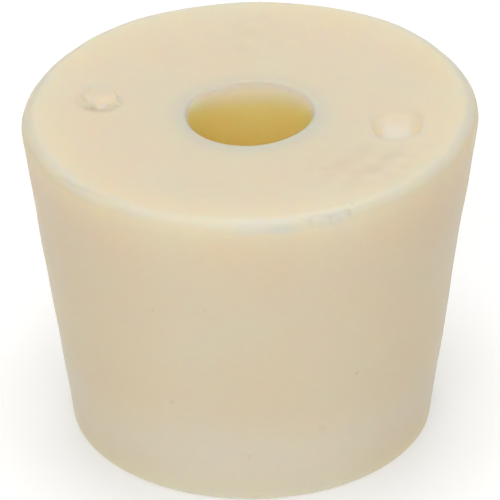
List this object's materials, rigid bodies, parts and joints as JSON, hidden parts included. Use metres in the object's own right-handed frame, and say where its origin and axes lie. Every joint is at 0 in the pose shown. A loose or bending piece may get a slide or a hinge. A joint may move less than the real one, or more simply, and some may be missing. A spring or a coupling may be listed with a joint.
{
  "type": "rubber stopper",
  "caption": "Tapered one-hole rubber stopper that plugs the neck of a flask or bottle and grips a tube in its straight bore.",
  "frame": {"origin": "centre of the small end's flat face, on the axis of the bore, where the stopper stands", "axes": "+Z along the bore towards the large end; +X near the clean gate well, which lies 12 degrees from it"},
  "size_m": [0.0336, 0.0336, 0.0258],
  "materials": {
    "gum_rubber": "moulded natural gum rubber, cream, slightly translucent, satin"
  },
  "bodies": {
    "root": {"stopper": "gum_rubber"}
  },
  "joints": []
}
